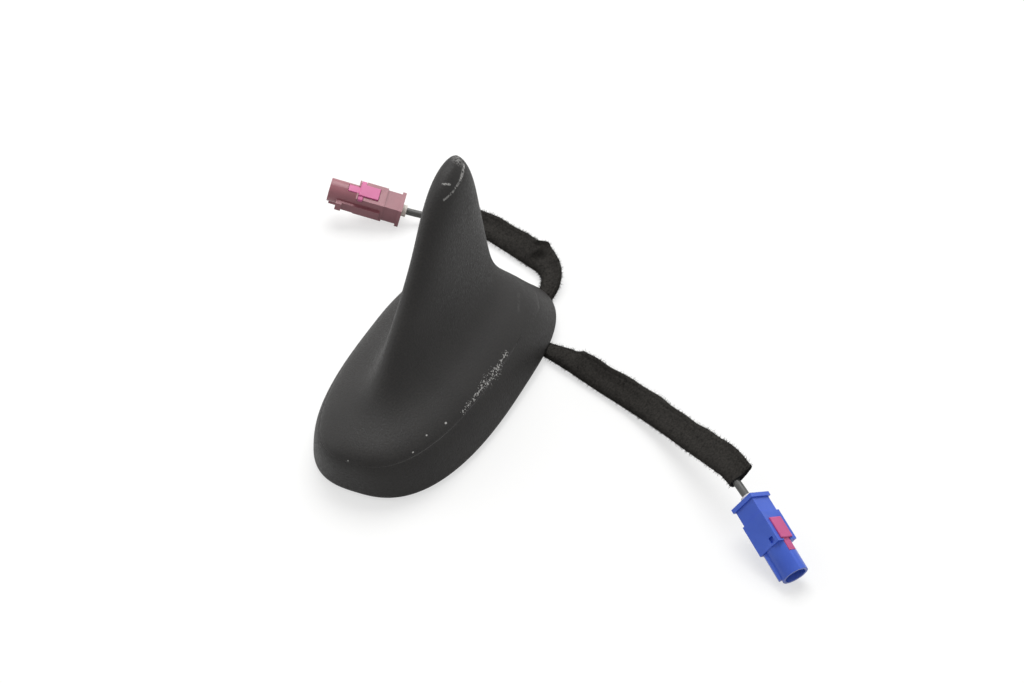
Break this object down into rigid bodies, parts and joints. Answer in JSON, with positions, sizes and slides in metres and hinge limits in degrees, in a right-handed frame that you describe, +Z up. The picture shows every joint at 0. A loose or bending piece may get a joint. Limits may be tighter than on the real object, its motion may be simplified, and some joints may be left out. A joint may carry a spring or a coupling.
{
  "type": "car roof antenna",
  "caption": "Black shark-fin car roof antenna for satellite positioning and phone, with a cast base plate, gasket, and taped coaxial leads ending in keyed plugs.",
  "frame": {"origin": "middle of the antenna's footprint, on the surface that its mounting boss stands on", "axes": "+X towards the low front end, +Y to the left, +Z up out of the roof"},
  "size_m": [0.1498, 0.2197, 0.0794],
  "materials": {
    "cover_black": "fine moulded grain, worn",
    "cast_plate": "as cast",
    "gasket_rubber": "matte",
    "insert_steel": "zinc plated",
    "grommet_rubber": "matte",
    "coax_jacket": "satin",
    "fleece_tape": "felted",
    "board_green": "solder mask",
    "patch_ceramic": "fired",
    "silver_film": "satin",
    "brass_pin": "turned",
    "tinplate": "rolled",
    "screw_steel": "zinc plated",
    "plug_blue": "moulded satin",
    "plug_bordeaux": "moulded satin",
    "lock_pink": "moulded satin",
    "contact_gold": "plated",
    "insulator_white": "turned",
    "ferrule_cream": "crimped"
  },
  "bodies": {
    "root": {"fin_cover": "cover_black", "base_plate": "cast_plate", "rim_gasket": "gasket_rubber", "roof_thread_insert": "insert_steel", "cable_grommet": "grommet_rubber", "coax_tails": "coax_jacket", "circuit_board": "board_green", "gps_patch": "patch_ceramic", "patch_electrode": "silver_film", "patch_feed_pin": "brass_pin", "shield_can": "tinplate", "phone_radiator": "tinplate", "cover_screws": "screw_steel", "board_screws": "screw_steel", "gps_plug_housing": "plug_blue", "gps_plug_lock": "lock_pink", "gps_ferrule": "ferrule_cream", "gps_contact_shell": "contact_gold", "gps_contact_insulator": "insulator_white", "gps_contact_pin": "contact_gold", "gps_lead_inner": "coax_jacket", "gps_tape": "fleece_tape", "gps_lead_end": "coax_jacket", "phone_plug_housing": "plug_bordeaux", "phone_plug_lock": "lock_pink", "phone_ferrule": "ferrule_cream", "phone_contact_shell": "contact_gold", "phone_contact_insulator": "insulator_white", "phone_contact_pin": "contact_gold", "phone_lead_inner": "coax_jacket", "phone_tape": "fleece_tape", "phone_lead_end": "coax_jacket"}
  },
  "joints": []
}
